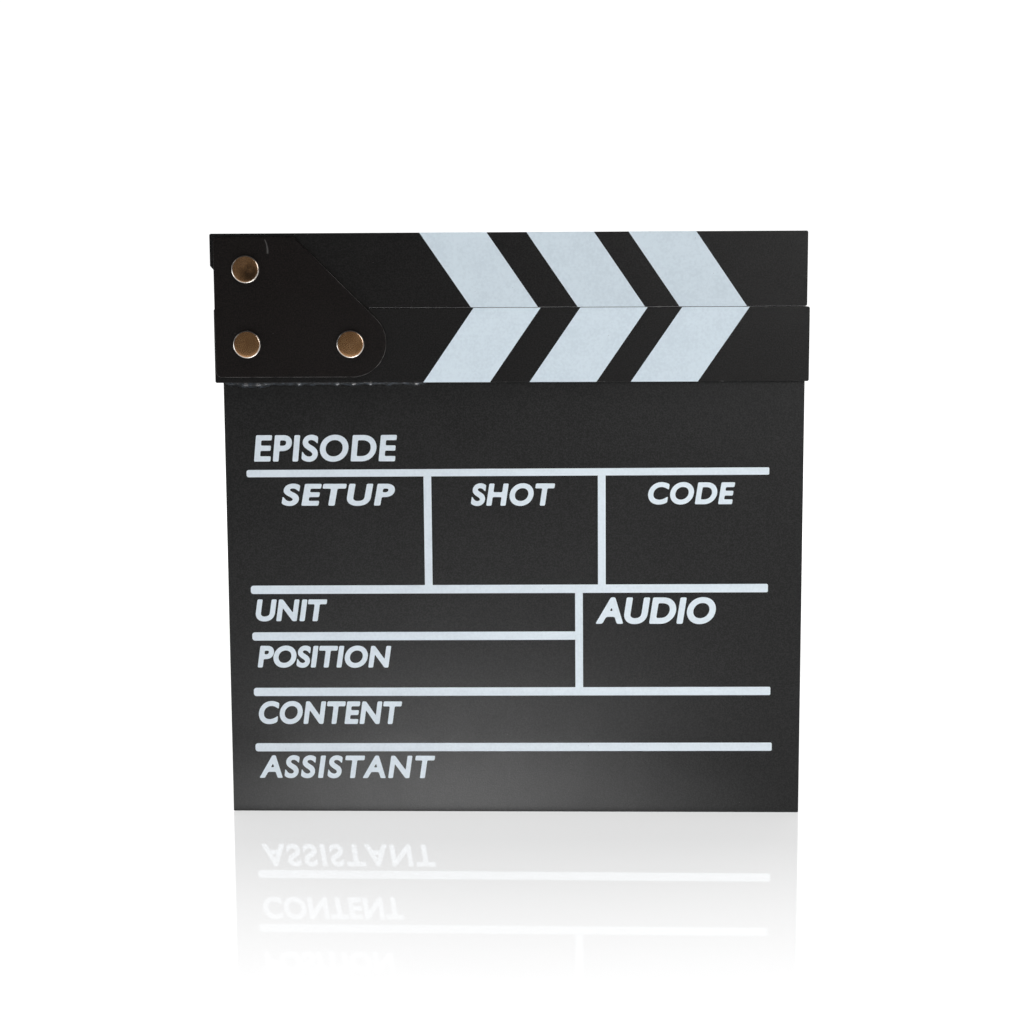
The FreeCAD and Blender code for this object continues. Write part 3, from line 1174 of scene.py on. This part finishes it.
@dataclass
class FieldPrint(Assembly):
    """White rules and field words, printed on the board's front."""

    ink_white: Colour = (0.700, 0.775, 0.840)
    ink_thin: Colour = (0.640, 0.710, 0.775)
    tilt: float = math.radians(0.19)
    round_steps: int = 6
    rules: tuple[Bar, ...] = (
        Bar(-91.15, 87.1, 117.8, 120.3, start_round=0.8, end_round=0.4),
        Bar(-90.70, 87.0, 77.3, 80.2, start_round=0.95, end_round=0.45),
        Bar(-90.60, 21.05, 60.95, 63.85, start_round=0.95),
        Bar(-90.55, 88.2, 41.35, 44.25, start_round=0.95, end_round=0.45),
        Bar(-90.50, 88.85, 21.65, 24.55, start_round=0.95, end_round=0.45),
        Bar(-30.53, -27.88, 80.2, 117.8),
        Bar(28.93, 31.58, 80.2, 117.8),
        Bar(21.05, 23.7, 44.25, 77.3),
    )
    letter_round: float = 0.040
    letter_steps: int = 4
    corner_angle: float = math.radians(35.0)
    words: tuple[FieldWord, ...] = (
        FieldWord(
            "title_word", "EPISODE", -88.6, -39.6, 122.8, 132.05, 1.06, weight=0.030, slant=0.10
        ),
        FieldWord("first_box_word", "SETUP", -79.4, -40.5, 107.6, 115.3, 1.14),
        FieldWord("second_box_word", "SHOT", -14.5, 14.2, 107.5, 115.3, 1.09),
        FieldWord("third_box_word", "CODE", 45.9, 75.4, 107.9, 115.6, 1.10),
        FieldWord("upper_left_word", "UNIT", -89.2, -64.4, 67.4, 75.1, 1.05),
        FieldWord("right_word", "AUDIO", 28.2, 69.3, 66.5, 75.9, 1.05),
        FieldWord("lower_left_word", "POSITION", -88.9, -42.5, 51.1, 58.9, 1.06),
        FieldWord("upper_row_word", "CONTENT", -88.9, -39.0, 31.1, 39.3, 1.07, weight=0.038),
        FieldWord("lower_row_word", "ASSISTANT", -89.0, -27.7, 11.8, 20.0, 1.17, weight=0.033),
    )

    def build(self) -> None:
        """Print the rules as one piece and each word as its own."""
        ink = FieldInk("field_ink", self.ink_white, self.ink_thin).material()
        low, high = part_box("field_rules")
        film = high.y - low.y
        shape = bmesh.new()
        for bar in self.rules:
            self.draw_bar(shape, bar, high.y)
        turn = Matrix.Rotation(-self.tilt, 4, "Y")
        bmesh.ops.rotate(shape, cent=(low + high) / 2.0, matrix=turn, verts=shape.verts)
        self.thicken(shape, film)
        self.add(shape, "field_rules_printed", Slot.INK, ink, ["field_rules"])
        for word in self.words:
            shape = self.letters(word, high.y)
            self.thicken(shape, film)
            self.add(shape, word.name, Slot.INK, ink)

    def draw_bar(self, shape: bmesh.types.BMesh, bar: Bar, face: float) -> None:
        """Add one bar and round its ends.

        Args:
            shape: the print so far.
            bar: the bar's sides and rounded ends.
            face: the board's front.
        """
        left, right, low, high = (side * MM for side in (bar.left, bar.right, bar.low, bar.high))
        places = ((left, low), (left, high), (right, high), (right, low))
        corners = [shape.verts.new((along, face, up)) for along, up in places]
        shape.faces.new(corners)
        for ends, radius in ((corners[:2], bar.start_round), (corners[2:], bar.end_round)):
            if radius > 0.0:
                round_corners(shape, ends, radius * MM, self.round_steps)

    def letters(self, word: FieldWord, face: float) -> bmesh.types.BMesh:
        """Draw one word with rounded corners, flat on the board's front.

        Args:
            word: the word and the box that it fills.
            face: the board's front.

        Returns:
            The flat word.
        """
        shape = self.outline(word)
        corners = [vert for vert in shape.verts if self.is_corner(vert)]
        round_corners(shape, corners, self.letter_round, self.letter_steps, clamp=True)
        edges = shape.edges[:]
        bmesh.ops.triangle_fill(shape, use_beauty=True, edges=edges, normal=(0.0, 0.0, 1.0))
        across = [vert.co.x for vert in shape.verts]
        up = [vert.co.y for vert in shape.verts]
        wide = (word.right - word.left) * MM / (max(across) - min(across))
        tall = (word.high - word.low) * MM / (max(up) - min(up))
        place = Matrix.Translation((word.left * MM, face, word.low * MM))
        stand = Matrix.Rotation(math.pi / 2.0, 4, "X")
        size = Matrix.Diagonal((wide, tall, 1.0, 1.0))
        start = Matrix.Translation((-min(across), -min(up), 0.0))
        bmesh.ops.transform(shape, matrix=place @ stand @ size @ start, verts=shape.verts)
        return shape

    def outline(self, word: FieldWord) -> bmesh.types.BMesh:
        """Take the outlines of a word's letters from the plain font.

        Args:
            word: the word and how its letters are set.

        Returns:
            Closed loops of edges in the XY plane.
        """
        text = bpy.data.curves.new(word.name, "FONT")
        text.body = word.text
        text.offset = word.weight
        text.shear = word.slant
        text.space_character = word.spacing
        holder = new_object(word.name, text)
        flat = bpy.data.meshes.new_from_object(holder)
        shape = bmesh.new()
        shape.from_mesh(flat)
        bpy.data.objects.remove(holder)
        bpy.data.curves.remove(text)
        bpy.data.meshes.remove(flat)
        inner = [edge for edge in shape.edges if len(edge.link_faces) > 1]
        bmesh.ops.delete(shape, geom=shape.faces[:], context="FACES_ONLY")
        bmesh.ops.delete(shape, geom=inner, context="EDGES")
        return shape

    def is_corner(self, vert: bmesh.types.BMVert) -> bool:
        """Tell whether an outline turns sharply at one of its points."""
        before, after = (edge.other_vert(vert).co - vert.co for edge in vert.link_edges)
        return math.pi - before.angle(after) > self.corner_angle

    def thicken(self, shape: bmesh.types.BMesh, film: float) -> None:
        """Raise flat print from the board.

        Args:
            shape: the flat print.
            film: the ink's thickness.
        """
        raised = bmesh.ops.extrude_face_region(shape, geom=shape.faces[:], use_keep_orig=True)
        verts = [part for part in raised["geom"] if isinstance(part, bmesh.types.BMVert)]
        bmesh.ops.translate(shape, vec=-Y_AXIS * film, verts=verts)


@dataclass(frozen=True)
class Lamp:
    """One soft rectangular light."""

    name: str
    place: Triple
    aim: Triple
    width: float
    height: float
    power: float
    glossy: bool = True
    spread: float = math.pi

    def hang(self) -> bpy.types.Object:
        """Place the light and point it at its aim.

        Returns:
            The light's object.
        """
        light = bpy.data.lights.new(self.name, "AREA")
        light.shape = "RECTANGLE"
        light.size = self.width
        light.size_y = self.height
        light.energy = self.power
        light.spread = self.spread
        holder = new_object(self.name, light)
        holder.location = self.place
        sight = Vector(self.aim) - Vector(self.place)
        holder.rotation_euler = sight.to_track_quat("-Z", "Y").to_euler()
        holder.visible_camera = False
        holder.visible_glossy = self.glossy
        return holder


@dataclass(frozen=True)
class SheenLamp(Lamp):
    """A light with a soft rim that shows only in the gloss of a surface."""

    middle: float = 0.5

    def hang(self) -> bpy.types.Object:
        """Place the light, fade it towards its rim and keep it off matt surfaces.

        Returns:
            The light's object.
        """
        holder = super().hang()
        holder.visible_diffuse = False
        holder.data.use_nodes = True
        graph = Graph(holder.data.node_tree)
        along, up, _ = graph.axes(graph.signal("ShaderNodeNewGeometry", output="Parametric"))
        reach = graph.distance(along - self.middle, up - self.middle)
        strength = graph.near(reach, self.middle, core=0.0)
        glow = graph.signal("ShaderNodeEmission", inputs={"Color": WHITE, "Strength": strength})
        graph.node("ShaderNodeOutputLight", inputs={"Surface": glow})
        return holder


@dataclass
class Studio:
    """A pale glossy table, a white surround and soft lights."""

    floor_half: float = 8.0
    floor_front: float = 0.75
    floor_drop: float = 0.02 * MM
    front_glow: float = 0.085
    back_glow: float = 1.35
    top_glow: float = 0.06
    backdrop: float = 1.1
    back_fade: Span = (-0.40, 0.40)
    top_fade: Span = (0.42, 0.66)
    lamps: tuple[Lamp, ...] = (
        Lamp("key_panel", (0.02, -0.7, 1.95), (0.0, -0.05, 0.08), 1.4, 1.2, 43.8, glossy=False),
        Lamp("back_panel", (0.0, 0.9, 1.4), (0.0, 0.1, 0.0), 1.6, 1.0, 7.0, glossy=False),
        Lamp("right_fill", (0.75, -0.9, 0.5), (0.05, 0.0, 0.1), 0.5, 0.5, 1.2, glossy=False),
        SheenLamp("left_sheen", (-0.63, -0.51, 0.49), (-0.09, 0.0, 0.18), 0.3, 0.3, 0.5),
        SheenLamp("rim_sheen", (-0.50, -0.06, 0.06), (-0.09, 0.0, 0.17), 0.6, 0.4, 3.4),
        SheenLamp("side_sheen", (0.22, -0.60, 0.30), (0.05, 0.0, 0.15), 0.28, 0.45, 5.3),
        SheenLamp("table_sheen", (-0.026, -0.09, 5e-5), (-0.026, -0.09, 1.0), 0.27, 0.08, 1.06),
        SheenLamp(
            "foot_sheen",
            (-0.028, -0.005, 0.0),
            (-0.028, 0.0, 0.0),
            width=0.27,
            height=0.064,
            power=0.120,
            spread=math.radians(100.0),
        ),
    )

    def build(self) -> None:
        """Lay the floor, light the surround and hang the lights."""
        shape = bmesh.new()
        bmesh.ops.create_grid(shape, x_segments=1, y_segments=1, size=self.floor_half)
        shift = Vector((0.0, self.floor_half - self.floor_front, -self.floor_drop))
        bmesh.ops.translate(shape, vec=shift, verts=shape.verts)
        mesh = bpy.data.meshes.new("studio_floor")
        shape.to_mesh(mesh)
        shape.free()
        mesh.materials.append(StudioFloor("studio_floor").material())
        floor = new_object("studio_floor", mesh)
        self.surround()
        for lamp in self.lamps:
            lamp.hang()
        bpy.context.scene.view_settings.view_transform = "Standard"
        LOG.info("laid the floor and hung %d lights", len(self.lamps))

    def surround(self) -> None:
        """White behind the object and at its sides, dim on the camera's side and overhead."""
        world = bpy.data.worlds.new("studio_surround")
        world.use_nodes = True
        bpy.context.scene.world = world
        graph = Graph(world.node_tree)
        toward = graph.signal("ShaderNodeTexCoord", output="Generated")
        _, back, up = graph.axes(toward)
        behind = graph.step(back, *self.back_fade)
        level = self.front_glow + (self.back_glow - self.front_glow) * behind
        overhead = graph.step(up, *self.top_fade)
        glow = level * (1.0 - overhead) + self.top_glow * overhead
        seen = graph.signal("ShaderNodeLightPath", output="Is Camera Ray")
        strength = glow * (1.0 - seen) + self.backdrop * seen
        shade = graph.signal("ShaderNodeBackground", inputs={"Color": WHITE, "Strength": strength})
        graph.node("ShaderNodeOutputWorld", inputs={"Surface": shade})


@dataclass
class PhotoCamera:
    """The camera, at the photograph's place and angle."""

    place: Vector = field(default_factory=lambda: Vector((16.05, -635.58, 187.69)) * MM)
    pitch: float = math.radians(7.33)
    yaw: float = math.radians(-1.557)
    roll: float = math.radians(-0.276)
    focal_pixels: float = 1871.45
    image_pixels: float = 1020.0
    sensor: float = 36.0
    near: float = 0.01

    def build(self) -> None:
        """Set up the camera and make it the scene's own."""
        lens = bpy.data.cameras.new("photo_camera")
        lens.sensor_width = self.sensor
        lens.lens = self.sensor * self.focal_pixels / self.image_pixels
        lens.clip_start = self.near
        holder = new_object("photo_camera", lens)
        turn = Matrix.Rotation(-self.yaw, 4, "Z")
        tilt = Matrix.Rotation(math.pi / 2.0 - self.pitch, 4, "X")
        lean = Matrix.Rotation(self.roll, 4, "Z")
        holder.matrix_world = Matrix.Translation(self.place) @ turn @ tilt @ lean
        bpy.context.scene.camera = holder
        LOG.info("set the camera")


def main() -> None:
    """Build every sub-assembly in order, then the studio and the camera."""
    logging.basicConfig(level=logging.INFO, format="%(name)s: %(message)s")
    makers = (
        SlateBoard(),
        # Painted light: the lower stick's stripe ink is lighter than the upper stick's, standing in
        # for the light that the floor throws up onto the lower stripes.
        ClapStick(
            "lower",
            wear_from=0.59,
            ink_white=(0.680, 0.780, 0.852),
            ink_thin=(0.620, 0.713, 0.786),
        ),
        ClapStick(
            "upper",
            wear_from=0.58,
            ink_white=(0.642, 0.735, 0.802),
            ink_thin=(0.582, 0.670, 0.737),
            body=Body.CLAP_STICK,
        ),
        HingePlates(),
        Rivet("pivot", dark_patch=0.9),
        Rivet("lower_left", dark_patch=0.25),
        Rivet("lower_right", dark_patch=0.1),
        GlueJoint(),
        FieldPrint(),
        Studio(),
        PhotoCamera(),
    )
    for maker in makers:
        maker.build()


if __name__ == "__main__":
    main()
